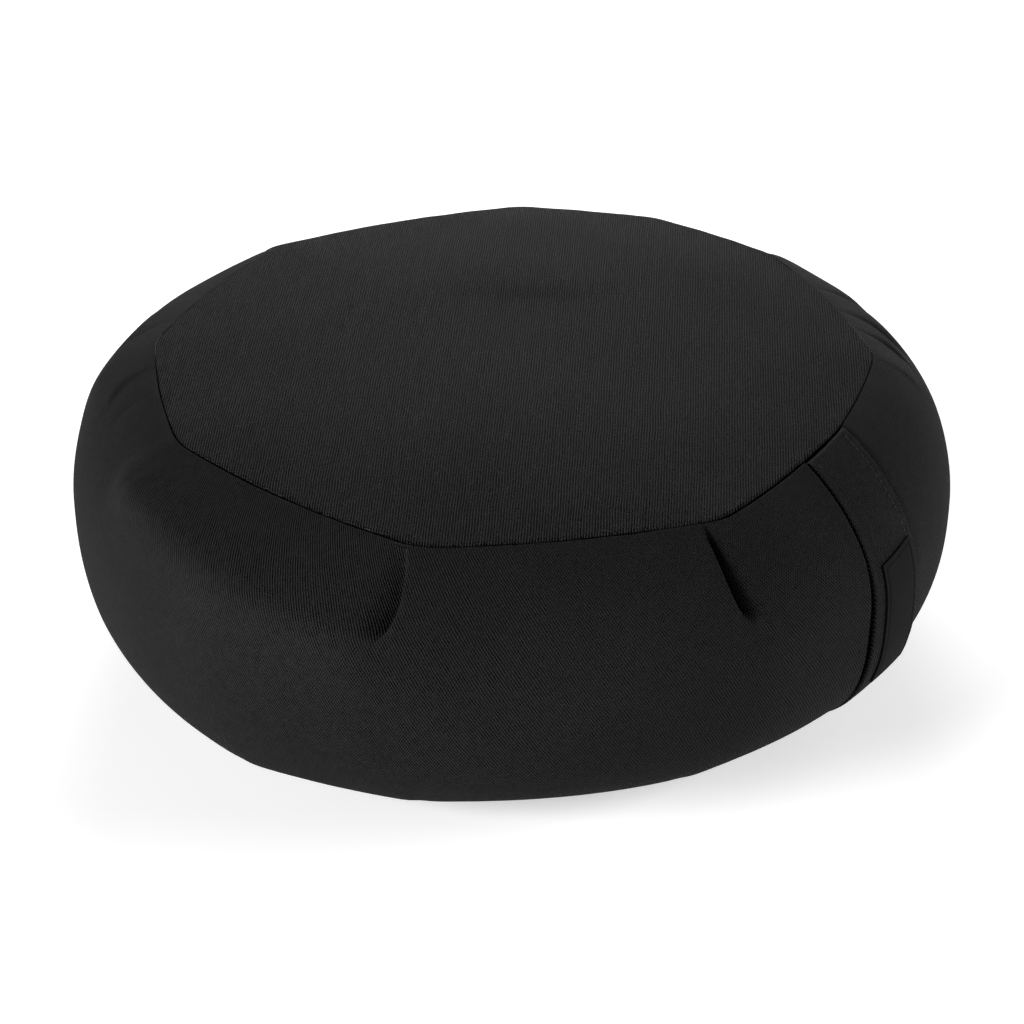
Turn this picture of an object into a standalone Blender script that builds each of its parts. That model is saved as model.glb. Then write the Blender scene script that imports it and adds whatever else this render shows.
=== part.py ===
"""A round meditation cushion (zafu): a filled, tucked side band, two round panels and a strap handle.

Metres, +Z up. The origin is the middle of the flat round that the cushion rests on. The front is -Y, and an
azimuth is measured from the front, towards +X.
"""
import math
from collections import namedtuple

import bmesh
import bpy
from mathutils import Vector

# Driving sizes
WIDEST_RADIUS = 0.200
WIDEST_HEIGHT = 0.077
TOP_SEAM_HEIGHT = 0.132
BOTTOM_SEAM_HEIGHT = 0.009
BOTTOM_SEAM_TILT = 72.0  # degrees that the band's outward normal points down at the bottom seam
BOTTOM_FILL = 1.3  # above 1, the settled filling keeps the lower half of the band fuller than an arc
TOP_CROWN = 0.012  # the top panel's middle above its seam
FOOT_SHARE = 0.86  # the flat foot's radius as a share of the bottom seam's
CLOTH = 0.002
GAP = 0.0003  # between sewn pieces

STRAP_WIDTH = 0.037
STRAP_THICKNESS = 0.002
STRAP_END = 0.012  # the share of the band left clear at each seam
# The strap's middle line, by its share of the way down the band, and how far it stands off the band.
StrapRun = namedtuple("StrapRun", "along azimuth gap")
STRAP_RUN = (
    StrapRun(0.00, 59.8, 0.0007),
    StrapRun(0.45, 55.2, 0.0016),
    StrapRun(0.75, 55.6, 0.0024),
    StrapRun(1.00, 57.0, 0.0008),
)

LABEL_WIDTH = 0.025
LABEL_THICKNESS = 0.001
LABEL_SPAN = (0.31, 0.68)  # shares of the strap's length
LABEL_SHIFT = 0.0015  # off the strap's middle, towards the back

SEAM_STRAIGHTNESS = 0.60  # 0 leaves a seam round between its corners, 1 makes it a polygon

# Each seam is drawn out to a blunt corner where the band is tucked.
Corner = namedtuple("Corner", "azimuth radius")
TOP_CORNERS = (
    Corner(-137.0, 0.1670),
    Corner(-97.0, 0.1640),
    Corner(-62.0, 0.1625),
    Corner(-13.0, 0.1675),
    Corner(32.0, 0.1655),
    Corner(65.0, 0.1550),
    Corner(92.0, 0.1640),
    Corner(132.0, 0.1680),
    Corner(155.0, 0.1700),
    Corner(179.0, 0.1680),
)
BOTTOM_CORNERS = (
    Corner(-140.0, 0.1700),
    Corner(-98.0, 0.1680),
    Corner(-70.0, 0.1710),
    Corner(-38.0, 0.1775),
    Corner(-13.0, 0.1700),
    Corner(24.0, 0.1610),
    Corner(84.0, 0.1590),
    Corner(128.0, 0.1690),
    Corner(176.0, 0.1710),
)

# How far the filling pushes the band out beyond the widest radius, and how many degrees the band's outward
# normal points up at the top seam: the shoulder is full at the sides and falls away sooner in front
# and behind.
Fullness = namedtuple("Fullness", "azimuth out seam_tilt")
FULLNESS = (
    Fullness(-160.0, 0.000, 50.0),
    Fullness(-115.0, 0.001, 84.0),
    Fullness(-70.0, 0.000, 72.0),
    Fullness(-35.0, 0.001, 56.0),
    Fullness(5.0, 0.000, 52.0),
    Fullness(45.0, -0.001, 54.0),
    Fullness(85.0, 0.000, 76.0),
    Fullness(120.0, 0.001, 84.0),
    Fullness(150.0, 0.000, 52.0),
)

# A tuck laps one side of the band over the other: side is +1 where the side towards +X lies on top.
# lean is how many degrees its foot is turned from its head, depth is the step that it makes, and reach is
# the share of the band down which it runs from its seam.
Tuck = namedtuple("Tuck", "azimuth lean side depth reach")
TOP_TUCKS = (
    Tuck(-137.0, 1.0, -1, 0.0032, 0.36),
    Tuck(-116.0, 2.0, 1, 0.0012, 0.26),
    Tuck(-105.0, 4.0, 1, 0.0014, 0.24),
    Tuck(-89.0, 3.0, -1, 0.0016, 0.26),
    Tuck(-79.0, 1.0, 1, 0.0012, 0.24),
    Tuck(-60.5, -1.5, 1, 0.0016, 0.42),
    Tuck(-15.0, -1.5, 1, 0.0045, 0.33),
    Tuck(28.7, 2.0, -1, 0.0045, 0.35),
    Tuck(91.0, 0.0, 1, 0.0016, 0.26),
    Tuck(102.0, -4.0, 1, 0.0018, 0.26),
    Tuck(110.0, -4.0, 1, 0.0016, 0.28),
    Tuck(133.0, -1.0, -1, 0.0032, 0.36),
    Tuck(179.0, 1.0, 1, 0.0038, 0.38),
)
BOTTOM_TUCKS = (
    Tuck(-140.0, 1.0, 1, 0.0030, 0.30),
    Tuck(-98.0, 0.0, -1, 0.0025, 0.28),
    Tuck(-70.0, 0.0, 1, 0.0015, 0.24),
    Tuck(-38.0, 1.0, 1, 0.0025, 0.28),
    Tuck(-13.0, 1.5, -1, 0.0032, 0.30),
    Tuck(24.0, -1.0, 1, 0.0030, 0.28),
    Tuck(84.0, 0.0, -1, 0.0025, 0.28),
    Tuck(128.0, 1.0, 1, 0.0030, 0.30),
    Tuck(176.0, -1.0, -1, 0.0030, 0.30),
)
TUCK_BLUNTNESS = 0.0025  # half width of the step
TUCK_TOP_FLANK = 0.014  # how soon the lapping side settles back
TUCK_UNDER_FLANK = 0.010  # and the side that it lies on

# Mesh fineness
EVEN_COLUMNS = 64
TUCK_COLUMN_OFFSETS = (-3.0, -1.2, 0.0, 1.2, 3.0)  # degrees from each deep top tuck
DEEP_TUCK = 0.003
COLUMN_SPACING = 1.0  # degrees, the least between columns
BAND_ROWS = 15
PANEL_SHARES = (0.35, 0.65, 0.85, 0.94, 1.0)  # ring radii as shares of the seam's
FOOT_SHARES = tuple(sorted(set(PANEL_SHARES) | {FOOT_SHARE}))
STRAP_ROWS = 22
STRAP_COLUMNS = 4
LABEL_ROWS = 10

BLACK_TWILL = (0.018, 0.018, 0.019)
BLACK_LABEL = (0.010, 0.010, 0.011)


def turn_between(start, end):
    """Degrees from one azimuth on to the next, going towards +X."""
    return (end - start) % 360.0


def neighbours(azimuth, rows):
    """The rows of a table before and after an azimuth, how far along it is between them, and their span."""
    for before, after in zip(rows, rows[1:] + rows[:1]):
        span = turn_between(before.azimuth, after.azimuth)
        along = turn_between(before.azimuth, azimuth)
        if along < span:
            return before, after, along, span
    raise ValueError("azimuth outside the table")


def seam_radius(azimuth, corners):
    """A seam's outline: an arc between corners, flattened part of the way to a straight chord."""
    before, after, along, span = neighbours(azimuth, corners)
    arc = before.radius + (after.radius - before.radius) * along / span
    half = math.radians(span / 2)
    chord = arc * math.cos(half) / math.cos(math.radians(along) - half)
    return arc + (chord - arc) * SEAM_STRAIGHTNESS


def fullness(azimuth):
    """Widest radius and the tilt at the top seam, eased between the table's rows."""
    before, after, along, span = neighbours(azimuth, FULLNESS)
    ease = 0.5 - 0.5 * math.cos(math.pi * along / span)
    out = before.out + (after.out - before.out) * ease
    seam_tilt = before.seam_tilt + (after.seam_tilt - before.seam_tilt) * ease
    return WIDEST_RADIUS + out, math.radians(seam_tilt)


def smooth_band(azimuth, share):
    """Radius and height of the band without its tucks; share is 0 at the top seam, 1 at the bottom."""
    widest, top_tilt = fullness(azimuth)
    bottom_tilt = math.radians(BOTTOM_SEAM_TILT)
    tilt = top_tilt - share * (top_tilt + bottom_tilt)
    if tilt >= 0.0:
        end_tilt, seam, height, fill = top_tilt, seam_radius(azimuth, TOP_CORNERS), TOP_SEAM_HEIGHT, 1.0
    else:
        end_tilt, seam, height = bottom_tilt, seam_radius(azimuth, BOTTOM_CORNERS), BOTTOM_SEAM_HEIGHT
        fill = BOTTOM_FILL
    drawn_in = ((1 - math.cos(tilt)) / (1 - math.cos(end_tilt))) ** fill
    risen = math.sin(abs(tilt)) / math.sin(end_tilt)
    return (
        widest + (seam - widest) * drawn_in,
        WIDEST_HEIGHT + (height - WIDEST_HEIGHT) * risen,
    )


def tuck_step(azimuth, share, tucks):
    """How far the tucks of one seam push the band out; share is measured from that seam."""
    step = 0.0
    for tuck in tucks:
        if share >= tuck.reach:
            continue
        middle = tuck.azimuth + tuck.lean * share / tuck.reach
        turn = turn_between(middle - 180.0, azimuth) - 180.0
        across = math.radians(turn) * WIDEST_RADIUS * tuck.side
        flank = TUCK_TOP_FLANK if across > 0 else TUCK_UNDER_FLANK
        fade = math.cos(0.5 * math.pi * share / tuck.reach) * (1 - math.exp(-share / 0.05))
        step += tuck.depth * math.tanh(across / TUCK_BLUNTNESS) * math.exp(-abs(across) / flank) * fade
    return step


def place(azimuth, radius, height):
    angle = math.radians(azimuth)
    return Vector((radius * math.sin(angle), -radius * math.cos(angle), height))


def smooth_normal(azimuth, share):
    little = 0.002
    radius_up, height_up = smooth_band(azimuth, max(share - little, 0.0))
    radius_down, height_down = smooth_band(azimuth, min(share + little, 1.0))
    along = Vector((radius_down - radius_up, height_up - height_down))
    along.normalize()
    return place(azimuth, along.y, along.x)


def band_point(azimuth, share):
    radius, height = smooth_band(azimuth, share)
    step = tuck_step(azimuth, share, TOP_TUCKS) + tuck_step(azimuth, 1 - share, BOTTOM_TUCKS)
    return place(azimuth, radius, height) + smooth_normal(azimuth, share) * step


def column_azimuths():
    """Even columns round the cushion, with closer ones where the band is tucked."""
    deep = [tuck for tuck in TOP_TUCKS if tuck.depth > DEEP_TUCK]
    wanted = [tuck.azimuth + offset for tuck in deep for offset in TUCK_COLUMN_OFFSETS]
    wanted += [tuck.azimuth for tuck in TOP_TUCKS + BOTTOM_TUCKS]
    even = [360.0 * index / EVEN_COLUMNS for index in range(EVEN_COLUMNS)]
    kept = []
    for azimuth in sorted(value % 360.0 for value in wanted):
        if all(abs(turn_between(other - 180.0, azimuth) - 180.0) > COLUMN_SPACING for other in kept):
            kept.append(azimuth)
    for azimuth in even:
        if all(abs(turn_between(other - 180.0, azimuth) - 180.0) > 2 * COLUMN_SPACING for other in kept):
            kept.append(azimuth)
    return sorted(kept)


def top_surface(share):
    """Height of the top panel's upper face at a share of the seam's radius."""
    return TOP_SEAM_HEIGHT + TOP_CROWN * (1 - share**2.6)


def foot_surface(share):
    """Height of the bottom panel's lower face: flat in the middle, turned up to its seam."""
    rise = max(share - FOOT_SHARE, 0.0) / (1 - FOOT_SHARE)
    return BOTTOM_SEAM_HEIGHT * rise**1.5


def panel_ring(azimuths, corners, surface, share, lift, outset=0.0):
    return [
        place(azimuth, seam_radius(azimuth, corners) * share + outset, surface(share) + lift)
        for azimuth in azimuths
    ]


def loft(name, rings, material):
    """A closed body through rings of as many points each, with a flat face over the first and the last.

    The rings' outlines are unlike each other, so the sides are lofted from ring to ring.
    """
    mesh_maker = bmesh.new()
    loops = [[mesh_maker.verts.new(point) for point in ring] for ring in rings]
    count = len(loops[0])
    for lower, upper in zip(loops, loops[1:]):
        for here in range(count):
            after = (here + 1) % count
            mesh_maker.faces.new((lower[here], lower[after], upper[after], upper[here]))
    mesh_maker.faces.new(reversed(loops[0]))
    mesh_maker.faces.new(loops[-1])
    bmesh.ops.recalc_face_normals(mesh_maker, faces=mesh_maker.faces)
    bmesh.ops.triangulate(mesh_maker, faces=mesh_maker.faces)
    mesh = bpy.data.meshes.new(name)
    mesh_maker.to_mesh(mesh)
    mesh_maker.free()
    mesh.shade_smooth()
    mesh.set_sharp_from_angle(angle=math.radians(35))
    mesh.materials.append(material)
    piece = bpy.data.objects.new(name, mesh)
    collection.objects.link(piece)
    return piece


def cloth_material(name, colour, roughness):
    material = bpy.data.materials.new(name)
    material.use_nodes = True
    shader = material.node_tree.nodes["Principled BSDF"]
    shader.inputs["Base Color"].default_value = (*colour, 1.0)
    shader.inputs["Roughness"].default_value = roughness
    shader.inputs["Metallic"].default_value = 0.0
    material.diffuse_color = (*colour, 1.0)
    return material


def make_top_panel(azimuths, material):
    upper = [panel_ring(azimuths, TOP_CORNERS, top_surface, share, 0.0) for share in PANEL_SHARES]
    lower = [panel_ring(azimuths, TOP_CORNERS, top_surface, share, -CLOTH) for share in PANEL_SHARES]
    return loft("top_panel", lower + upper[::-1], material)


def make_bottom_panel(azimuths, material):
    upper = [panel_ring(azimuths, BOTTOM_CORNERS, foot_surface, share, CLOTH) for share in FOOT_SHARES]
    lower = [
        panel_ring(azimuths, BOTTOM_CORNERS, foot_surface, share, 0.0)
        for share in FOOT_SHARES
        if share >= FOOT_SHARE
    ]
    return loft("bottom_panel", lower + upper[::-1], material)


def make_side_band(azimuths, material):
    """The filled body: its side is the band, and each end is recessed for a panel."""
    foot = [
        panel_ring(azimuths, BOTTOM_CORNERS, foot_surface, share, CLOTH + GAP, GAP if share == 1.0 else 0.0)
        for share in FOOT_SHARES
    ]
    band = []
    for row in range(BAND_ROWS + 1):
        share = 1 - row / BAND_ROWS
        ring = [band_point(azimuth, share) for azimuth in azimuths]
        if row in (0, BAND_ROWS):
            ring = [point + place(azimuth, GAP, 0.0) for azimuth, point in zip(azimuths, ring)]
        band.append(ring)
    crown = [
        panel_ring(azimuths, TOP_CORNERS, top_surface, share, -CLOTH - GAP, GAP if share == 1.0 else 0.0)
        for share in PANEL_SHARES
    ]
    return loft("side_band", foot + band + crown[::-1], material)


def strap_run(along):
    """The strap's azimuth and its gap to the band, eased between the table's rows."""
    for before, after in zip(STRAP_RUN, STRAP_RUN[1:]):
        if along <= after.along:
            part = (along - before.along) / (after.along - before.along)
            ease = 0.5 - 0.5 * math.cos(math.pi * part)
            azimuth = before.azimuth + (after.azimuth - before.azimuth) * ease
            return azimuth, before.gap + (after.gap - before.gap) * ease
    return STRAP_RUN[-1].azimuth, STRAP_RUN[-1].gap


def strap_point(across, along, lift):
    """A point on the strap: across its width and along its length (0 to 1), lifted off its inner face."""
    share = STRAP_END + (1 - 2 * STRAP_END) * along
    middle, gap = strap_run(along)
    radius, height = smooth_band(middle, share)
    azimuth = middle + math.degrees(across / radius)
    radius, height = smooth_band(azimuth, share)
    return place(azimuth, radius, height) + smooth_normal(azimuth, share) * (gap + lift)


def strip_rings(rows, span, columns, half_width, shift, inner, thickness):
    """Closed sections along a strip on the strap's run: over the outer face and back under the inner one."""
    start, end = span
    rings = []
    for row in range(rows + 1):
        along = start + (end - start) * row / rows
        acrosses = [shift + half_width * (2 * column / columns - 1) for column in range(columns + 1)]
        outer = [strap_point(across, along, inner + thickness) for across in acrosses]
        under = [strap_point(across, along, inner) for across in acrosses]
        rings.append(outer + under[::-1])
    return rings


def make_handle_strap(material):
    rings = strip_rings(STRAP_ROWS, (0.0, 1.0), STRAP_COLUMNS, STRAP_WIDTH / 2, 0.0, 0.0, STRAP_THICKNESS)
    return loft("handle_strap", rings, material)


def make_label_patch(material):
    inner = STRAP_THICKNESS + GAP
    half = LABEL_WIDTH / 2
    rings = strip_rings(LABEL_ROWS, LABEL_SPAN, STRAP_COLUMNS, half, LABEL_SHIFT, inner, LABEL_THICKNESS)
    return loft("label_patch", rings, material)


for old in list(bpy.data.objects):
    bpy.data.objects.remove(old, do_unlink=True)

collection = bpy.data.collections.new("zafu_cushion")
bpy.context.scene.collection.children.link(collection)

columns = column_azimuths()
make_side_band(columns, cloth_material("band_twill", BLACK_TWILL, 0.85))
make_top_panel(columns, cloth_material("top_twill", BLACK_TWILL, 0.85))
make_bottom_panel(columns, cloth_material("bottom_twill", BLACK_TWILL, 0.85))
make_handle_strap(cloth_material("strap_twill", BLACK_TWILL, 0.80))
make_label_patch(cloth_material("label_satin", BLACK_LABEL, 0.55))
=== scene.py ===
import math

import bmesh
import bpy
import numpy as np
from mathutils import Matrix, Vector, noise


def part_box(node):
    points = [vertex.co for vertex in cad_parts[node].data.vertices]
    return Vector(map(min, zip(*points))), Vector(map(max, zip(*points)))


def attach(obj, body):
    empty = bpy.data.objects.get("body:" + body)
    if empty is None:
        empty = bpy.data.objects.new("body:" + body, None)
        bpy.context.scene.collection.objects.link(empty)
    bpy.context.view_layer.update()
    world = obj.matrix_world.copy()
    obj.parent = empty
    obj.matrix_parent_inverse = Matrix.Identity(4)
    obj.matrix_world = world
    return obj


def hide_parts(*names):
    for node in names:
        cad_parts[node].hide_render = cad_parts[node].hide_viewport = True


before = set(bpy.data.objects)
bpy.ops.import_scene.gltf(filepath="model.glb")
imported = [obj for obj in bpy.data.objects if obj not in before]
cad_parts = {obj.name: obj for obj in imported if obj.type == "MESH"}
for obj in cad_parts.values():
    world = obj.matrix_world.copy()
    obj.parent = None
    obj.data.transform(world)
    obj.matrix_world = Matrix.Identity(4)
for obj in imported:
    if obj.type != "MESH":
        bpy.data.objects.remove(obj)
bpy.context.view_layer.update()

# the cushion's sizes, with its seams' heights and its crown read from the frame
panelLow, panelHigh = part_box("top_panel")
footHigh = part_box("bottom_panel")[1]
cushion = {
    "cloth": 0.002,
    "widest": 0.200,
    "widestHeight": 0.077,
    "crownPower": 2.6,        # above 2, the top is flatter in the middle and rounder at its edge
    "bottomTilt": 72.0,       # degrees that the band faces down at the bottom seam
    "bottomFill": 1.3,        # above 1, the settled filling keeps the lower half full
    "straightness": 0.60,     # how far a seam is flattened between its corners
    "footShare": 0.86,        # the flat foot's radius, as a share of the bottom seam's
    "footPower": 1.5,
    "cornerBlend": 2.2,       # degrees over which a seam's corner is rounded
}
cushion["topSeam"] = panelLow.z + cushion["cloth"]
cushion["crown"] = panelHigh.z - cushion["topSeam"]
cushion["bottomSeam"] = footHigh.z - cushion["cloth"]

# seam corners: azimuth, radius
topCorners = [
    (-137.0, 0.1670), (-97.0, 0.1640), (-62.0, 0.1625), (-13.0, 0.1675), (32.0, 0.1655),
    (65.0, 0.1550), (92.0, 0.1640), (132.0, 0.1680), (155.0, 0.1700), (179.0, 0.1680),
]
bottomCorners = [
    (-140.0, 0.1700), (-98.0, 0.1680), (-70.0, 0.1710), (-38.0, 0.1775), (-13.0, 0.1700),
    (24.0, 0.1610), (84.0, 0.1590), (128.0, 0.1690), (176.0, 0.1710),
]
# how full the band is: azimuth, metres beyond the widest radius, degrees it faces up at the top seam
fullness = [
    (-160.0, 0.000, 50.0), (-115.0, 0.001, 84.0), (-70.0, 0.000, 72.0), (-35.0, 0.001, 56.0),
    (5.0, 0.000, 52.0), (45.0, -0.001, 54.0), (85.0, 0.000, 76.0), (120.0, 0.001, 84.0), (150.0, 0.000, 52.0),
]
# tucks: azimuth, degrees that the fold bows and that its foot is turned, side that laps over, how far that
# side stands up, how far the other side sinks, over what width and how steeply it climbs back, the share of
# the band that the tuck runs down, and the half width of the step, which is wider in a soft pleat
topTucks = [
    (-137.0, 0.0, 1.0, -1, 0.0014, 0.0040, 0.0060, 2.6, 0.30, 0.0012),
    (-116.0, 0.0, 3.0, 1, 0.0003, 0.0010, 0.0070, 2.0, 0.26, 0.0040),
    (-105.0, 0.0, 5.0, 1, 0.0004, 0.0018, 0.0060, 2.0, 0.24, 0.0036),
    (-88.0, 0.0, 4.0, -1, 0.0004, 0.0016, 0.0060, 2.0, 0.20, 0.0036),
    (-79.0, 0.0, 1.0, 1, 0.0003, 0.0010, 0.0060, 2.0, 0.18, 0.0036),
    (-60.5, 0.0, -1.5, 1, 0.0005, 0.0011, 0.0070, 2.0, 0.40, 0.0030),
    (-15.0, 0.7, -1.6, 1, 0.0013, 0.0088, 0.0115, 2.0, 0.270, 0.0009),
    (28.4, 0.2, 2.0, -1, 0.0015, 0.0098, 0.0064, 3.0, 0.285, 0.0009),
    (91.0, 0.0, 0.0, 1, 0.0004, 0.0010, 0.0060, 2.0, 0.22, 0.0040),
    (102.0, 0.0, -6.0, 1, 0.0004, 0.0020, 0.0055, 2.0, 0.22, 0.0036),
    (109.0, 0.0, -5.0, 1, 0.0005, 0.0022, 0.0060, 2.0, 0.27, 0.0036),
    (118.0, 0.0, 0.0, 1, 0.0005, 0.0018, 0.0060, 2.0, 0.28, 0.0036),
    (133.0, 0.0, -1.0, -1, 0.0014, 0.0040, 0.0060, 2.6, 0.30, 0.0012),
    (179.0, 0.0, 1.0, 1, 0.0014, 0.0070, 0.0065, 2.6, 0.30, 0.0009),
]
bottomTucks = [
    (-140.0, 0.0, 1.0, 1, 0.0010, 0.0034, 0.0070, 2.6, 0.26, 0.0014),
    (-98.0, 0.0, 0.0, -1, 0.0005, 0.0020, 0.0080, 2.0, 0.24, 0.0030),
    (-70.0, 0.0, 0.0, 1, 0.0003, 0.0008, 0.0100, 2.0, 0.22, 0.0040),
    (-38.0, 0.0, 1.0, 1, 0.0002, 0.0006, 0.0120, 2.0, 0.24, 0.0040),
    (-13.0, 0.0, 1.5, -1, 0.0003, 0.0010, 0.0100, 2.0, 0.26, 0.0040),
    (24.0, 0.0, -1.0, 1, 0.0002, 0.0006, 0.0120, 2.0, 0.24, 0.0040),
    (84.0, 0.0, 0.0, -1, 0.0005, 0.0020, 0.0080, 2.0, 0.24, 0.0030),
    (128.0, 0.0, 1.0, 1, 0.0010, 0.0034, 0.0070, 2.6, 0.26, 0.0014),
    (176.0, 0.0, -1.0, -1, 0.0010, 0.0036, 0.0070, 2.6, 0.26, 0.0014),
]
tuckShape = {
    "lapFlank": 0.018,        # how soon the lapping side settles back
    "overlap": 0.0034,        # how far a deep tuck's lapping edge hangs over the other side
    "overlapWidth": 0.007,
    "deep": 0.0085,           # the sinking side's depth at which the edge hangs over that far
    "bend": 9.0,              # degrees to each side that follow a fold's bow
    "meanRadius": 0.185,
    "startWidth": 0.35,       # width at the seam, as a share of the full one
    "stepShift": 0.0004,
    "opening": 0.8,           # how a tuck widens from the seam, as a power
    "closing": 0.72,          # share of a tuck's run at which it starts to close
    "courseBend": 4,          # how late a fold turns towards its foot, as a power
    "courseFade": 1.2,        # length below the foot that still follows it, in runs of the tuck
}
# stretches between two tucks where the upper band is drawn flat, above a ridge: first and last azimuth, share
# of the band at which the ridge lies at each, how far the flat is drawn in, how far the ridge stands out,
# degrees of fade
facets = [
    (-64.5, -15.0, 0.17, 0.25, 0.0021, 0.0072, 3.0), (-124.0, -92.0, 0.20, 0.22, 0.0018, 0.0008, 6.0),
    (30.0, 50.0, 0.22, 0.24, 0.0008, 0.0012, 4.0), (94.0, 126.0, 0.22, 0.22, 0.0018, 0.0006, 6.0),
]
# how softly the flat turns into its ridge, and how far below it the ridge settles, as shares of run and band
ridgeShape = {"corner": 0.08, "width": 0.115}
# where the filling stands out more broadly: azimuth, share of the band, metres out, half widths of both
swells = [
    (-101.0, 0.38, 0.0012, 8.0, 0.20), (-48.0, 0.76, 0.0012, 14.0, 0.20), (45.0, 0.74, 0.0022, 16.0, 0.22),
]
swellStart = 0.08             # share of the band over which a swell begins below the top seam


def tableSpan(azimuth, rows):
    # the row before and after each azimuth, the share of the way between them, and the degrees between
    starts = np.array([row[0] for row in rows])
    offsets = (starts - starts[0]) % 360.0
    turned = (np.asarray(azimuth, float) - starts[0]) % 360.0
    before = np.searchsorted(offsets, turned, side="right") - 1
    after = (before + 1) % len(rows)
    span = (offsets[after] - offsets[before]) % 360.0
    return before, after, (turned - offsets[before]) / span, span


def sharpSeamRadius(azimuth, corners):
    # between an arc and a straight chord from corner to corner
    before, after, share, span = tableSpan(azimuth, corners)
    radii = np.array([row[1] for row in corners])
    arc = radii[before] + (radii[after] - radii[before]) * share
    half = np.radians(span / 2)
    chord = arc * np.cos(half) / np.cos(half * (2 * share - 1))
    return arc + (chord - arc) * cushion["straightness"]


def seamRadius(azimuth, corners):
    # the corners are rounded by averaging over a few degrees
    azimuth = np.asarray(azimuth, float)
    steps = np.linspace(-1, 1, 7) * cushion["cornerBlend"]
    return sum(sharpSeamRadius(azimuth + step, corners) for step in steps) / len(steps)


def eased(azimuth, rows, column):
    # a column of the table, passing smoothly from row to row
    before, after, share = tableSpan(azimuth, rows)[:3]
    values = np.array([row[column] for row in rows])
    return values[before] + (values[after] - values[before]) * (0.5 - 0.5 * np.cos(np.pi * share))


def smoothBand(azimuth, share):
    # radius and height of the band without its tucks: share is 0 at the top seam and 1 at the bottom one
    azimuth, share = np.broadcast_arrays(np.asarray(azimuth, float), np.asarray(share, float))
    widest = cushion["widest"] + eased(azimuth, fullness, 1)
    topTilt = np.radians(eased(azimuth, fullness, 2))
    bottomTilt = math.radians(cushion["bottomTilt"])
    tilt = topTilt - share * (topTilt + bottomTilt)
    above = tilt >= 0
    endTilt = np.where(above, topTilt, bottomTilt)
    seam = np.where(above, seamRadius(azimuth, topCorners), seamRadius(azimuth, bottomCorners))
    height = np.where(above, cushion["topSeam"], cushion["bottomSeam"])
    fill = np.where(above, 1.0, cushion["bottomFill"])
    drawnIn = ((1 - np.cos(tilt)) / (1 - np.cos(endTilt))) ** fill
    risen = np.sin(np.abs(tilt)) / np.sin(endTilt)
    radius = widest + (seam - widest) * drawnIn
    return radius, cushion["widestHeight"] + (height - cushion["widestHeight"]) * risen


def place(azimuth, radius, height):
    angle = np.radians(azimuth)
    return np.stack(np.broadcast_arrays(radius * np.sin(angle), -radius * np.cos(angle), height), -1)


def bandNormal(azimuth, share):
    little = 0.002
    radiusUp, heightUp = smoothBand(azimuth, np.maximum(share - little, 0))
    radiusDown, heightDown = smoothBand(azimuth, np.minimum(share + little, 1))
    across, down = heightUp - heightDown, radiusDown - radiusUp
    size = np.hypot(across, down)
    return place(azimuth, across / size, down / size)


def turnFrom(start, azimuth):
    return (azimuth - start + 180.0) % 360.0 - 180.0


def tuckFade(share, reach):
    # nothing at the seam, where the tuck is sewn flat, then wider and deeper until it closes in a round foot
    along = np.clip(share / reach, 0, 1)
    closing = tuckShape["closing"]
    opened = np.minimum(along / closing, 1) ** tuckShape["opening"]
    left = np.where(along > closing, 0.5 + 0.5 * np.cos(np.pi * (along - closing) / (1 - closing)), 1.0)
    return opened * left


def tuckEffects(azimuth, share, tucks):
    # push along the normal, and turn in degrees, that one seam's tucks give; share starts at that seam
    push = np.zeros(np.broadcast(azimuth, share).shape)
    turn = np.zeros_like(push)
    for middle, bow, lean, side, rise, drop, flank, steep, reach, edge in tucks:
        away = turnFrom(middle, azimuth)
        across = np.radians(away) * tuckShape["meanRadius"] * side
        fade = tuckFade(share, reach)
        along = share / reach
        width = flank * (tuckShape["startWidth"] + (1 - tuckShape["startWidth"]) * np.clip(along, 0, 1))
        lap = rise * np.exp(-np.abs(across) / tuckShape["lapFlank"])
        under = -drop / (1 + (np.abs(across) / width) ** steep)
        mix = 0.5 + 0.5 * np.tanh((across - tuckShape["stepShift"]) / edge)
        push += fade * (under + (lap - under) * mix)
        # the fold's own course, and the edge that hangs over
        hang = tuckShape["overlap"] * (drop / tuckShape["deep"]) * fade
        beyond = 0.5 + 0.5 * np.cos(np.pi * np.clip((along - 1) / tuckShape["courseFade"], 0, 1))
        course = np.where(along < 1, along ** tuckShape["courseBend"], beyond) * lean
        course = course + bow * np.sin(np.pi * np.clip(along, 0, 1))
        course = course + np.degrees(hang / tuckShape["meanRadius"]) * side
        turn += course * np.exp(-((away / tuckShape["bend"]) ** 2))
        hang = hang * np.exp(-((across / tuckShape["overlapWidth"]) ** 2)) * mix
        turn -= np.degrees(hang / tuckShape["meanRadius"]) * side
    return push, turn


def facetPush(azimuth, share):
    # a flat stretch is drawn straight across the round of the band, and ends in a soft ridge
    push = np.zeros_like(azimuth)
    for start, end, startRidge, endRidge, depth, ridge, fade in facets:
        middle, half = (start + end) / 2, (end - start) / 2
        away = turnFrom(middle, azimuth)
        window = 0.25 * (1 + np.tanh((away + half) / fade)) * (1 + np.tanh((half - away) / fade))
        reach = startRidge + (endRidge - startRidge) * np.clip((away + half) / (2 * half), 0, 1)
        along = share / reach
        left = ridgeShape["corner"] * np.logaddexp(0, (1 - along) / ridgeShape["corner"])
        settled = np.exp(-(np.maximum(share - reach, 0) / ridgeShape["width"]) ** 2)
        push += window * (ridge * (1 - left) * settled - depth * 4 * along * left)
    for middle, height, out, halfTurn, halfHeight in swells:
        near = np.exp(-(turnFrom(middle, azimuth) / halfTurn) ** 2 - ((share - height) / halfHeight) ** 2)
        push += out * near * np.minimum(share / swellStart, 1)
    return push


# fine creases that the seams' stitching draws into the cloth, as noise along the seam
puckers = {"depth": 0.00035, "reach": 0.010, "pitch": 0.011, "ring": 2 * math.pi * 0.16}
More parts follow.
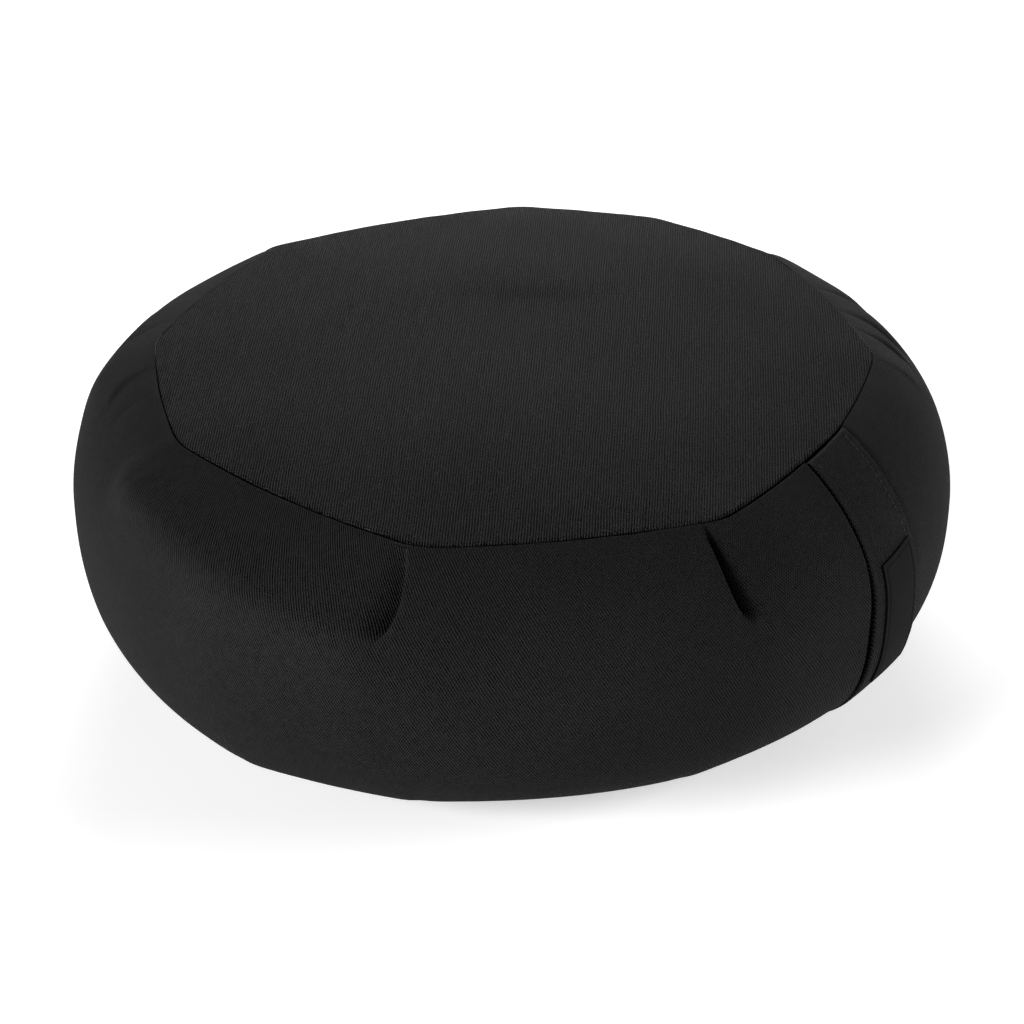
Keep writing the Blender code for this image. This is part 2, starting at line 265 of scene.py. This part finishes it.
# both edges of a seam roll down into a narrow groove
seamRoll = {
    "radius": 0.0010,
    "gap": 0.0015,
    "undercut": 0.0024,
    "side": (60.0, 8.0, 0.24),    # degrees from the front, degrees of fade, and the depth's share beyond them
    "back": (88.0, 3.0, 0.08),
}


def rippleAlong(azimuth, seed):
    # smooth noise along a seam, between -1 and 1, which joins up with itself all round
    length = np.radians(azimuth % 360.0) * puckers["ring"] / (2 * math.pi)
    fade = length / puckers["ring"]
    first, second = [
        np.array([noise.noise(Vector((value / puckers["pitch"], seed, 0.5 * seed))) for value in run])
        for run in (length, length - puckers["ring"])
    ]
    return first * (1 - fade) + second * fade


def seamDepth(azimuth):
    # the groove is deep in front and shallower behind, where the filling pushes both edges up
    away = np.abs(turnFrom(0.0, azimuth))
    left, before = 1.0, 1.0
    for start, fade, depth in (seamRoll["side"], seamRoll["back"]):
        left = left - (before - depth) * (0.5 + 0.5 * np.tanh((away - start) / fade))
        before = depth
    return left


def rolledEdge(distance):
    # how far an edge has rolled down at this distance from the seam
    left = np.clip(1 - distance / seamRoll["radius"], 0, 1)
    return seamRoll["radius"] * (1 - np.sqrt(1 - left ** 2))


def strapDip(azimuth, share, radius):
    # the band is pressed in under the strap, with a sharp lip along the strap's front edge
    along = np.clip((share - strapPiece["end"]) / (1 - 2 * strapPiece["end"]), 0, 1)
    across = np.radians(turnFrom(runAt(along, 1), azimuth)) * radius
    half = strapPiece["width"] / 2
    widened = np.minimum(along / strapDent["gapReach"], 1)
    frontGap = strapDent["topGap"] + (strapDent["frontGap"] - strapDent["topGap"]) * widened
    front = 0.5 + 0.5 * np.tanh((across + half + frontGap) / strapDent["frontEdge"])
    back = 0.5 + 0.5 * np.tanh((half + strapDent["backGap"] - across) / strapDent["backEdge"])
    lip = np.exp(-np.maximum(-across - half - frontGap, 0) / strapDent["lipWidth"]) * (1 - front)
    return strapDent["lip"] * lip - strapDent["depth"] * front * back


def bandSurface(azimuth, share):
    # azimuth has one value for each column, and share one for each row
    columns = azimuth
    azimuth, share = np.meshgrid(azimuth, share)
    topPush, topTurn = tuckEffects(azimuth, share, topTucks)
    bottomPush, bottomTurn = tuckEffects(azimuth, 1 - share, bottomTucks)
    turned = azimuth + topTurn + bottomTurn
    radius, height = smoothBand(turned, share)
    points = place(turned, radius, height)
    normals = bandNormal(turned, share)
    # how far down the flat cloth each row lies
    flatRadius, flatHeight = smoothBand(azimuth, share)
    steps = np.hypot(np.diff(flatRadius, axis=0), np.diff(flatHeight, axis=0))
    down = np.concatenate([np.zeros((1, azimuth.shape[1])), np.cumsum(steps, axis=0)])
    fromTop, fromBottom = down, down[-1] - down
    pucker = rippleAlong(columns, 3.0) * np.exp(-fromTop / puckers["reach"])
    pucker = pucker + rippleAlong(columns, 8.0) * np.exp(-fromBottom / puckers["reach"])
    push = topPush + bottomPush + facetPush(azimuth, share) + strapDip(turned, share, radius)
    push = push + puckers["depth"] * pucker
    points = points + normals * push[..., None]
    points[..., 2] += rolledEdge(fromBottom) - rolledEdge(fromTop) * seamDepth(azimuth)
    cloth = np.stack([np.radians(turned) * cushion["widest"], down, np.zeros_like(down)], -1)
    return points, cloth


# how much wider each step is for its distance from a tuck, in degrees, or from a seam, in metres
spread = {"turns": 0.25, "rows": 0.12}


def spacedColumns():
    # azimuths all round, closer together at each tuck, from the band's own join, which the strap hides
    middles = [row[0] for row in topTucks + bottomTucks]
    azimuth, columns = bandPiece["join"], []
    while azimuth < bandPiece["join"] + bandPiece["allRound"]:
        columns.append(azimuth)
        nearest = min(abs(turnFrom(middle, azimuth)) for middle in middles)
        nearStrap = max(abs(turnFrom(bandPiece["strapEdge"], azimuth)) - bandPiece["strapEdgeHalf"], 0)
        wider = spread["turns"] * min(nearest, nearStrap)
        azimuth += min(bandPiece["fineTurn"] + wider, bandPiece["coarseTurn"])
    return np.array(columns)


def spacedShares(length):
    # shares of the way down the band, closer together at both seams
    travelled, stops = 0.0, []
    while travelled < length / 2:
        stops.append(travelled)
        travelled += min(bandPiece["fineRow"] + spread["rows"] * travelled, bandPiece["coarseRow"])
    stops = np.array(stops) / length
    return np.concatenate([stops, [0.5], (1 - stops)[::-1]])


def ringMesh(name, rings, cloths, material, joinStep=0.0):
    # a closed mesh through rings that have as many points each, with a fan at the first and the last
    count = len(rings[0])
    points = np.concatenate(rings + [rings[0].mean(0)[None], rings[-1].mean(0)[None]])
    grid = np.arange(len(rings) * count).reshape(len(rings), count)
    here, after = grid, np.roll(grid, -1, axis=1)
    quads = np.stack([here[:-1], after[:-1], after[1:], here[1:]], -1).reshape(-1, 4)
    first, last = len(rings) * count, len(rings) * count + 1
    faces = quads.tolist()
    faces += [(int(after[0][i]), int(here[0][i]), first) for i in range(count)]
    faces += [(int(here[-1][i]), int(after[-1][i]), last) for i in range(count)]
    mesh = bpy.data.meshes.new(name)
    mesh.from_pydata(points.tolist(), [], faces)
    # where each corner lies on the flat cloth, kept per face so that it can start again at a join
    cloth = np.concatenate(cloths + [cloths[0].mean(0)[None], cloths[-1].mean(0)[None]])
    corners = np.zeros(len(mesh.loops), int)
    mesh.loops.foreach_get("vertex_index", corners)
    placed = cloth[corners]
    lastColumn = np.arange(len(rings) - 1) * count + count - 1
    for corner in (1, 2):
        placed[4 * lastColumn + corner, 0] += joinStep
    layer = mesh.attributes.new("clothPlace", "FLOAT_VECTOR", "CORNER")
    layer.data.foreach_set("vector", placed.astype(np.float32).ravel())
    mesh.update()
    return pieceFrom(mesh, material)


def pieceFrom(mesh, material):
    mesh.polygons.foreach_set("use_smooth", np.ones(len(mesh.polygons), bool))
    mesh.materials.append(material)
    piece = bpy.data.objects.new(mesh.name, mesh)
    bpy.context.scene.collection.objects.link(piece)
    return piece


def twillMaterial(name, look):
    # diagonal wales of twisted yarn, from each face's place on the flat cloth
    material = bpy.data.materials.new(name)
    material.use_nodes = True
    nodes, links = material.node_tree.nodes, material.node_tree.links
    shader = nodes["Principled BSDF"]
    shader.inputs["Roughness"].default_value = look["roughness"]
    shader.inputs["Specular IOR Level"].default_value = look["specular"]
    shader.inputs["Sheen Weight"].default_value = look["sheen"]
    shader.inputs["Sheen Roughness"].default_value = look["sheenRoughness"]
    shader.inputs["Sheen Tint"].default_value = (1.0, 1.0, 1.0, 1.0)

    def calc(operation, first, second=0.0, third=0.0):
        node = nodes.new("ShaderNodeMath")
        node.operation = operation
        for slot, value in enumerate((first, second, third)):
            if isinstance(value, (int, float)):
                node.inputs[slot].default_value = value
            else:
                links.new(value, node.inputs[slot])
        return node.outputs[0]

    def noiseAt(scale, detail):
        # noise about zero
        node = nodes.new("ShaderNodeTexNoise")
        node.inputs["Scale"].default_value = scale
        node.inputs["Detail"].default_value = detail
        links.new(clothPlace.outputs["Vector"], node.inputs["Vector"])
        return calc("SUBTRACT", node.outputs["Fac"], 0.5)

    clothPlace = nodes.new("ShaderNodeAttribute")
    clothPlace.attribute_name = "clothPlace"
    split = nodes.new("ShaderNodeSeparateXYZ")
    links.new(clothPlace.outputs["Vector"], split.inputs[0])
    across, down = split.outputs[0], split.outputs[1]
    angle = math.radians(look["waleAngle"])
    side = calc("ADD", calc("MULTIPLY", across, math.sin(angle)), calc("MULTIPLY", down, -math.cos(angle)))
    side = calc("ADD", side, calc("MULTIPLY", noiseAt(look["waverScale"], 2.0), look["waver"]))
    run = calc("ADD", calc("MULTIPLY", across, math.cos(angle)), calc("MULTIPLY", down, math.sin(angle)))
    phase = calc("MULTIPLY", side, 2 * math.pi / look["pitch"])
    twist = calc("MULTIPLY_ADD", run, 2 * math.pi / look["yarn"], calc("MULTIPLY", phase, 0.5))
    # the wales stand out more in some patches than in others
    height = 0.0
    for wave, part, scale in ((phase, "waleHeight", "waleScale"), (twist, "yarnHeight", "yarnScale")):
        patch = calc("MULTIPLY_ADD", noiseAt(look[scale], 1.0), look["patchy"], 1.0)
        height = calc("MULTIPLY_ADD", calc("MULTIPLY", calc("SINE", wave), patch), look[part], height)
    height = calc("MULTIPLY_ADD", noiseAt(look["fleckScale"], 1.0), look["fleck"], height)
    height = calc("MULTIPLY_ADD", noiseAt(look["grainScale"], 1.0), look["grain"], height)
    # the wale relief is also painted into the colour: painted shade between the wales and painted sheen on
    # their ridges
    shade = calc("MULTIPLY_ADD", height, look["paintedWaleShade"], 1.0)
    shade = calc("MINIMUM", calc("MAXIMUM", shade, look["darkest"]), 2.0 - look["darkest"])
    mottle = calc("MULTIPLY_ADD", noiseAt(look["mottleScale"], 3.0), look["mottle"], 1.0)
    shade = calc("MULTIPLY", shade, mottle)
    colour = nodes.new("ShaderNodeVectorMath")
    colour.operation = "SCALE"
    colour.inputs[0].default_value = look["colour"]
    links.new(shade, colour.inputs["Scale"])
    links.new(colour.outputs[0], shader.inputs["Base Color"])
    bump = nodes.new("ShaderNodeBump")
    bump.inputs["Strength"].default_value = 1.0
    bump.inputs["Distance"].default_value = look["relief"]
    links.new(calc("MULTIPLY_ADD", height, 0.5, 0.5), bump.inputs["Height"])
    links.new(bump.outputs["Normal"], shader.inputs["Normal"])
    material.diffuse_color = (*look["colour"], 1.0)
    return material


blackTwill = {
    "colour": (0.0134, 0.0134, 0.0137),
    "roughness": 0.80,
    "specular": 0.030,
    "sheen": 0.0,
    "sheenRoughness": 0.45,
    "pitch": 0.00115,         # from wale to wale
    "yarn": 0.00110,          # from twist to twist along a wale
    "waver": 0.0010,
    "patchy": 2.6,            # how unevenly the wales and the twists stand out
    "fleck": 1.6,             # the finest roughness of the yarn
    "grain": 0.8,
    "paintedWaleShade": 0.72,         # painted shade: how much darker the colour is made between the wales, and how much lighter, as painted sheen, on their ridges
    "darkest": 0.06,
    "mottle": 0.5,            # broad changes of tone
    "relief": 0.00045,
    "waleAngle": 58.0,        # degrees between the wales and the way round
    "waleHeight": 0.72,
    "yarnHeight": 0.38,
    "waverScale": 60.0,       # scales of the noise: about this many lumps to the metre
    "waleScale": 260.0,
    "yarnScale": 420.0,
    "fleckScale": 1200.0,
    "grainScale": 520.0,
    "mottleScale": 16.0,
}

bandPiece = {
    "inner": (0.97, 0.75, 0.40),  # rings of the hidden ends, as shares of the seam's radius
    "fill": 0.85,
    "length": 0.17,               # from seam to seam along the cloth
    "gap": 0.001,                 # between each hidden end and the panel over it
    "join": 57.0,                 # azimuth of the first column; the last one falls just short of a whole turn
    "allRound": 359.9,
    "strapEdge": 51.0,            # azimuth of the strap's front edge, and half the turn that it bends through
    "strapEdgeHalf": 3.5,
    "fineTurn": 0.13,             # degrees between columns at a tuck, and well away from one
    "coarseTurn": 0.62,
    "fineRow": 0.00025,           # metres between rows at a seam, and well away from one
    "coarseRow": 0.0021,
}


def footSurface(share):
    rise = np.maximum(np.asarray(share, float) - cushion["footShare"], 0.0) / (1 - cushion["footShare"])
    return cushion["bottomSeam"] * rise ** cushion["footPower"]


def topSurface(share):
    return cushion["topSeam"] + cushion["crown"] * (1 - np.asarray(share, float) ** cushion["crownPower"])


def makeSideBand():
    # the band from seam to seam, closed at both ends by rings that the panels hide
    columns = spacedColumns()
    points, cloth = bandSurface(columns, spacedShares(bandPiece["length"]))
    topEnd, bottomEnd = [], []
    below = cushion["cloth"] + panelPiece["underside"] + bandPiece["gap"]
    above = cushion["cloth"] + bandPiece["gap"]
    for share in bandPiece["inner"]:
        topRadius, bottomRadius = [share * seamRadius(columns, seam) for seam in (topCorners, bottomCorners)]
        topEnd.append(place(columns, topRadius, topSurface(share) - below))
        bottomEnd.append(place(columns, bottomRadius, footSurface(share) + above))
    points[0] += place(columns, seamRoll["gap"] * seamDepth(columns), 0.0)
    points[-1] += place(columns, seamRoll["gap"], 0.0)
    topStep, bottomStep = points[0].copy(), points[-1].copy()
    topStep[:, 2] = cushion["topSeam"] - below
    bottomStep[:, 2] += above
    rings = topEnd[::-1] + [topStep] + list(points) + [bottomStep] + bottomEnd
    flat = [np.zeros_like(cloth[0])]
    cloths = flat * (len(topEnd) + 1) + list(cloth) + flat * (len(bottomEnd) + 1)
    around = 2 * math.pi * cushion["widest"]
    return ringMesh("sideBand", rings[::-1], cloths[::-1], twillMaterial("bandTwill", blackTwill), around)


panelPiece = {
    "radius": 0.165,
    "columns": 720,
    "waves": 0.0012,
    "waveSize": 0.075,
    "edgeStep": 0.00025,      # metres between rings at the edge, and in the middle
    "middleStep": 0.0030,
    "middle": 0.004,          # radius that is left to the fan in the middle
    "dipFade": 0.020,         # width at the edge over which the dips die out
    "underside": 0.0012,      # how much thicker than its cloth the top panel is inside, where it is hidden
    "topUnder": (1.0, 0.96, 0.85, 0.6, 0.3),          # rings of the hidden sides, as shares of the radius
    "bottomOver": (1.0, 0.96, 0.9, 0.86, 0.5, 0.2),
    "weave": {"waleAngle": 86.5, "pitch": 0.00114},
}
# soft hollows that sitting has left in the top: x, y, depth, half length along x, half width behind, and
# half width in front
hollows = [
    (0.010, 0.042, 0.0018, 0.038, 0.013, 0.042),
    (-0.055, 0.010, 0.0009, 0.040, 0.030, 0.030),
    (0.060, -0.030, 0.0008, 0.045, 0.028, 0.028),
]


def panelShares():
    # shares of a panel's radius, closer together at its edge
    travelled, stops = 0.0, []
    while travelled < panelPiece["radius"] - panelPiece["middle"]:
        stops.append(1 - travelled / panelPiece["radius"])
        travelled += min(panelPiece["edgeStep"] + spread["rows"] * travelled, panelPiece["middleStep"])
    return stops


def panelDip(ring):
    # the hollows, and broad shallow waves in the cloth
    dip = np.zeros(len(ring))
    for x, y, depth, halfLength, halfBehind, halfFront in hollows:
        halfWidth = np.where(ring[:, 1] > y, halfBehind, halfFront)
        dip -= depth * np.exp(-((ring[:, 0] - x) / halfLength) ** 2 - ((ring[:, 1] - y) / halfWidth) ** 2)
    waves = np.array([noise.noise(Vector((x, y, 0.5)) / panelPiece["waveSize"]) for x, y in ring[:, :2]])
    return dip + panelPiece["waves"] * waves


def panelFrom(name, rings, material):
    # a panel's flat cloth lies as it is seen from above
    return ringMesh(name, rings, [ring * np.array([1, 1, 0]) for ring in rings], material)


def makeTopPanel():
    columns = np.arange(panelPiece["columns"]) * 360.0 / panelPiece["columns"]
    seam = seamRadius(columns, topCorners) - seamRoll["gap"] * seamDepth(columns)
    ripple = puckers["depth"] * rippleAlong(columns, 5.0)
    upper = []
    for share in panelShares():
        fromEdge = (1 - share) * seam
        ring = place(columns, seam * share, topSurface(share))
        dip = panelDip(ring) * np.clip(fromEdge / panelPiece["dipFade"], 0, 1)
        ring[:, 2] += dip + ripple * np.exp(-fromEdge / puckers["reach"])
        ring[:, 2] -= rolledEdge(fromEdge) * seamDepth(columns)
        upper.append(ring)
    lower = []
    for share in panelPiece["topUnder"]:
        # the edge turns under, so that the seam is dark inside
        inset = seamRoll["undercut"] * seamDepth(columns) if share == 1 else 0.0
        ring = place(columns, seam * share - inset, topSurface(share) - cushion["cloth"])
        ring[:, 2] -= panelPiece["underside"] if share < 1 else seamRoll["radius"] * seamDepth(columns)
        lower.append(ring)
    # the top panel is the same black twill, given a lighter colour than the band: painted light, for the
    # brighter light that falls on the top
    look = dict(blackTwill, colour=(0.0172, 0.0172, 0.0175), paintedWaleShade=2.8, fleck=2.4, relief=0.0009,
                **panelPiece["weave"])
    return panelFrom("topPanel", lower[::-1] + upper, twillMaterial("topTwill", look))


def makeBottomPanel():
    columns = np.arange(360) * 1.0
    seam = seamRadius(columns, bottomCorners) - seamRoll["gap"]
    lower = []
    for share in panelShares()[::2]:
        ring = place(columns, seam * share, footSurface(share))
        ring[:, 2] += rolledEdge((1 - share) * seam)
        lower.append(ring)
    upper = []
    for share in panelPiece["bottomOver"]:
        ring = place(columns, seam * share, footSurface(share) + cushion["cloth"])
        ring[:, 2] += seamRoll["radius"] if share == 1.0 else 0.0
        upper.append(ring)
    look = dict(blackTwill, **panelPiece["weave"])
    return panelFrom("bottomPanel", lower[::-1] + upper, twillMaterial("bottomTwill", look))


strapPiece = {
    "width": 0.037,
    "thickness": 0.002,
    "length": 0.165,
    "end": 0.005,             # share of the band left clear at each seam
    "stations": 170,
    "across": 24,
    "waleAngle": 60.0,
    "stitchInset": 0.0050,
    "stitchPitch": 0.0031,
    "stitchLength": 0.0023,
    "stitchRadius": 0.00022,
    "stitchSides": [(-1, 0.00044), (1, 0.00010)],     # which edge, and how deep its stitches are sunk
    "grooveWidth": 0.0007,
    "grooveDepth": 0.00028,
    "pressedLength": 0.005,   # where the strap is sewn in, it is this much thinner over this length
    "pressedShare": 0.25,
}
outerShare = 0.6              # how far up a strip's thickness its outer side begins
# the strap's middle line: share of its length, azimuth, how far its underside is above the smooth band
strapRun = [
    (0.00, 60.0, -0.0009), (0.25, 56.6, -0.0009), (0.45, 55.3, -0.0006), (0.75, 55.6, 0.0022),
    (1.00, 57.0, 0.0008),
]
# the dent that the strap lies in
strapDent = {
    "depth": 0.0013,
    "topGap": 0.0008,         # room in front of the strap at the seam, and further down
    "frontGap": 0.0027,
    "gapReach": 0.45,         # share of the strap over which that room widens
    "frontEdge": 0.0005,
    "backGap": 0.0010,
    "backEdge": 0.0020,
    "lip": 0.0011,
    "lipWidth": 0.0060,
}
labelPiece = {
    "width": 0.025,
    "thickness": 0.0008,
    "span": (0.31, 0.68),     # where it starts and ends, as shares of the strap's length
    "shift": 0.0015,          # from the strap's middle line, away from the front
    "clearance": 0.0002,
    "border": 0.0020,         # from the edge to the sunk line
    "lineWidth": 0.0006,
    "lineDepth": 0.00035,
    "stations": 150,
    "across": 60,
}


def runAt(along, column):
    # one smooth curve that fits the run's rows
    stops = [row[0] for row in strapRun]
    return np.polyval(np.polyfit(stops, [row[column] for row in strapRun], 3), along)


def strapPoint(across, along, lift):
    share = strapPiece["end"] + (1 - 2 * strapPiece["end"]) * np.asarray(along, float)
    middle = runAt(along, 1)
    radius, height = smoothBand(middle, share)
    azimuth = middle + np.degrees(across / radius)
    radius, height = smoothBand(azimuth, share)
    above = np.asarray(runAt(along, 2) + lift)
    return place(azimuth, radius, height) + bandNormal(azimuth, share) * above[..., None]


def stripSection(width, thickness, count):
    # a folded strip's section: flat faces and round edges, as (across, lift) points
    half, bend = width / 2, thickness / 2
    turns = np.radians(np.linspace(-90, 90, 7))
    right = [(half - bend + bend * math.cos(t), bend + bend * math.sin(t)) for t in turns]
    left = [(-x, 2 * bend - y) for x, y in right]
    outer = [(x, thickness) for x in np.linspace(half - bend, -half + bend, count)[1:-1]]
    inner = [(x, 0.0) for x in np.linspace(-half + bend, half - bend, count)[1:-1]]
    return np.array(right + outer + left + inner)


def stripAlong(name, strip, span, shift, base, material, face):
    # a strip laid along the strap's run: base is how far it lies above the run, and face shapes its surface
    section = stripSection(strip["width"], strip["thickness"], strip["across"])
    across, lift = section[:, 0], section[:, 1]
    rings, cloths = [], []
    for along in np.linspace(span[0], span[1], strip["stations"]):
        alongs = np.full(len(section), along)
        rings.append(strapPoint(across + shift, alongs, lift + base + face(across, lift, along)))
        cloths.append(np.stack([across, alongs * strapPiece["length"], lift], -1))
    return ringMesh(name, rings, cloths, material)


def strapFace(across, lift, along):
    # the folded cloth is a little full between its stitch lines, and is pressed thin where it is sewn in
    inset = strapPiece["width"] / 2 - strapPiece["stitchInset"]
    groove = np.exp(-((np.abs(across) - inset) / strapPiece["grooveWidth"]) ** 2)
    outerSide = lift > strapPiece["thickness"] * outerShare
    fromEnd = min(along, 1 - along) * strapPiece["length"]
    pressed = math.exp(-(fromEnd / strapPiece["pressedLength"]) ** 2) * strapPiece["pressedShare"]
    sunk = np.where(outerSide, strapPiece["grooveDepth"] * groove, 0.0)
    return -sunk - pressed * lift - rolledEdge(fromEnd)


def makeStrap():
    look = dict(blackTwill, waleAngle=strapPiece["waleAngle"])
    return stripAlong("handleStrap", strapPiece, (0.0, 1.0), 0.0, 0.0,
                      twillMaterial("strapTwill", look), strapFace)


def labelFace(across, lift, along):
    # a sunk line runs round the label inside its border
    start, end = labelPiece["span"]
    fromSide = labelPiece["width"] / 2 - np.abs(across)
    fromEnd = min(along - start, end - along) * strapPiece["length"]
    fromEdge = np.minimum(fromSide, fromEnd)
    line = np.exp(-((fromEdge - labelPiece["border"]) / labelPiece["lineWidth"]) ** 2)
    return np.where(lift > labelPiece["thickness"] * outerShare, -labelPiece["lineDepth"] * line, 0.0)


def makeLabel():
    look = dict(blackTwill, colour=(0.0095, 0.0095, 0.0097), specular=0.015, roughness=0.7, paintedWaleShade=0.2,
                waleAngle=90.0, pitch=0.0005, relief=0.0001)
    base = strapPiece["thickness"] + labelPiece["clearance"]
    return stripAlong("labelPatch", labelPiece, labelPiece["span"], labelPiece["shift"], base,
                      twillMaterial("labelSatin", look), labelFace)


# a stitch's outline: share of its length, share of its radius; and how many sides it has
bead = {"outline": [(0.0, 0.35), (0.12, 0.85), (0.5, 1.0), (0.88, 0.85), (1.0, 0.35)], "sides": 6}


def addStitch(maker, start, end, up, radius):
    # one stitch: a short round-ended bead of thread
    run = end - start
    length = run.length
    run.normalize()
    side = run.cross(up).normalized()
    up = side.cross(run)
    rings = []
    for share, size in bead["outline"]:
        middle = start + run * (length * share)
        rings.append([maker.verts.new(middle + (side * math.cos(t) + up * math.sin(t)) * radius * size)
                      for t in np.linspace(0, 2 * math.pi, bead["sides"] + 1)[:-1]])
    for first, second in zip(rings, rings[1:]):
        for i in range(bead["sides"]):
            j = (i + 1) % bead["sides"]
            maker.faces.new((first[i], first[j], second[j], second[i]))
    maker.faces.new(rings[0][::-1])
    maker.faces.new(rings[-1])


def stitchesFrom(name, maker, material):
    mesh = bpy.data.meshes.new(name)
    bmesh.ops.recalc_face_normals(maker, faces=maker.faces)
    maker.to_mesh(mesh)
    maker.free()
    return pieceFrom(mesh, material)


def makeStrapStitches(material):
    # two rows of topstitching, from just past one seam to just short of the other
    maker = bmesh.new()
    inset = strapPiece["width"] / 2 - strapPiece["stitchInset"]
    count = int(strapPiece["length"] / strapPiece["stitchPitch"])
    for side, sunk in strapPiece["stitchSides"]:
        base = strapPiece["thickness"] - sunk
        for index in range(1, count - 2):
            alongs = np.array([index, index + strapPiece["stitchLength"] / strapPiece["stitchPitch"]]) / count
            ends = strapPoint(np.array([side * inset] * 2), alongs, np.array([base] * 2))
            above = strapPoint(np.array([side * inset]), alongs[:1], np.array([base + 0.001]))[0]
            start, end = Vector(ends[0]), Vector(ends[1])
            addStitch(maker, start, end, (Vector(above) - start).normalized(), strapPiece["stitchRadius"])
    return stitchesFrom("strapStitches", maker, material)


# where the top seam's stitches show: first and last azimuth; then their pitch and length in degrees
seamStitch = {"runs": [(-99.0, -92.0), (93.0, 104.0)], "pitch": 0.95, "length": 0.45, "radius": 0.00030}


def makeSeamStitches(material):
    maker = bmesh.new()
    for first, last in seamStitch["runs"]:
        for azimuth in np.arange(first, last, seamStitch["pitch"]):
            ends = np.array([azimuth, azimuth + seamStitch["length"]])
            points = place(ends, seamRadius(ends, topCorners), cushion["topSeam"])
            addStitch(maker, Vector(points[0]), Vector(points[1]), Vector((0, 0, 1)), seamStitch["radius"])
    return stitchesFrom("seamStitches", maker, material)


def plainMaterial(name, look):
    # one even surface: each row of the look sets the shader's input of that name
    material = bpy.data.materials.new(name)
    material.use_nodes = True
    shader = material.node_tree.nodes["Principled BSDF"]
    for part, value in look.items():
        shader.inputs[part].default_value = value
    return material


blackThread = {"Base Color": (0.028, 0.028, 0.0285, 1.0), "Roughness": 0.6, "Specular IOR Level": 0.2}


studio = {
    "lookAt": (0.0, 0.0, 0.06),
    "distance": 1.4,
    "elevation": 30.0,
    "lens": 106.3,
    "shiftY": -0.0123,
    "sensorWidth": 36.0,
    "floorSize": 12.0,
    "lampDistance": 2.2,
    "roomLight": 0.02,
}
paleFloor = {
    "Base Color": (0.9, 0.9, 0.9, 1.0),
    "Roughness": 0.9,
    "Specular IOR Level": 0.1,
    "Emission Color": (1.0, 1.0, 1.0, 1.0),
    "Emission Strength": 0.45,
}
# soft boxes: name, azimuth and elevation that it shines from, size, watts
lamps = [
    ("frontLeftBox", -58.0, 18.0, 1.0, 62.0),
    ("leftBox", -90.0, 18.0, 1.0, 1.0),
    ("backBox", -179.0, 18.0, 1.0, 39.0),
    ("backRightBox", 135.0, 18.0, 1.0, 9.0),
    ("rightBox", 84.0, 18.0, 1.0, 37.0),
]


def makeStudio():
    bpy.ops.mesh.primitive_plane_add(size=studio["floorSize"], location=(0, 0, 0))
    floor = bpy.context.object
    floor.name = "floor"
    floor.data.materials.append(plainMaterial("paleFloor", paleFloor))
    for name, azimuth, elevation, size, watts in lamps:
        tilt = math.radians(elevation)
        spot = Vector(place(azimuth, math.cos(tilt), math.sin(tilt))) * studio["lampDistance"]
        light = bpy.data.lights.new(name, "AREA")
        light.shape = "DISK"
        light.size = size
        light.energy = watts
        lamp = bpy.data.objects.new(name, light)
        lamp.location = spot
        lamp.rotation_euler = (Vector(studio["lookAt"]) - spot).to_track_quat("-Z", "Y").to_euler()
        bpy.context.scene.collection.objects.link(lamp)
    world = bpy.data.worlds.new("room")
    world.use_nodes = True
    background = world.node_tree.nodes["Background"]
    background.inputs["Color"].default_value = (1.0, 1.0, 1.0, 1.0)
    background.inputs["Strength"].default_value = studio["roomLight"]
    bpy.context.scene.world = world
    bpy.context.scene.view_settings.view_transform = "Standard"


def makeCamera():
    camera = bpy.data.objects.new("camera", bpy.data.cameras.new("camera"))
    target = Vector(studio["lookAt"])
    tilt = math.radians(studio["elevation"])
    camera.location = target + studio["distance"] * Vector((0, -math.cos(tilt), math.sin(tilt)))
    camera.rotation_euler = (target - camera.location).to_track_quat("-Z", "Y").to_euler()
    camera.data.lens = studio["lens"]
    camera.data.sensor_width = studio["sensorWidth"]
    camera.data.shift_y = studio["shiftY"]
    bpy.context.scene.collection.objects.link(camera)
    bpy.context.scene.camera = camera


makeStudio()
makeCamera()
print("studio set")

sideBand = makeSideBand()
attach(sideBand, "root")
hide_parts("side_band")
print("side band made")

thread = plainMaterial("blackThread", blackThread)
seamStitches = makeSeamStitches(thread)
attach(seamStitches, "root")

topPanel = makeTopPanel()
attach(topPanel, "root")
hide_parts("top_panel")

bottomPanel = makeBottomPanel()
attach(bottomPanel, "root")
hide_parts("bottom_panel")
print("panels made")

handleStrap = makeStrap()
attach(handleStrap, "root")
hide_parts("handle_strap")

labelPatch = makeLabel()
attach(labelPatch, "root")
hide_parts("label_patch")

strapStitches = makeStrapStitches(thread)
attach(strapStitches, "root")
print("strap and label made")
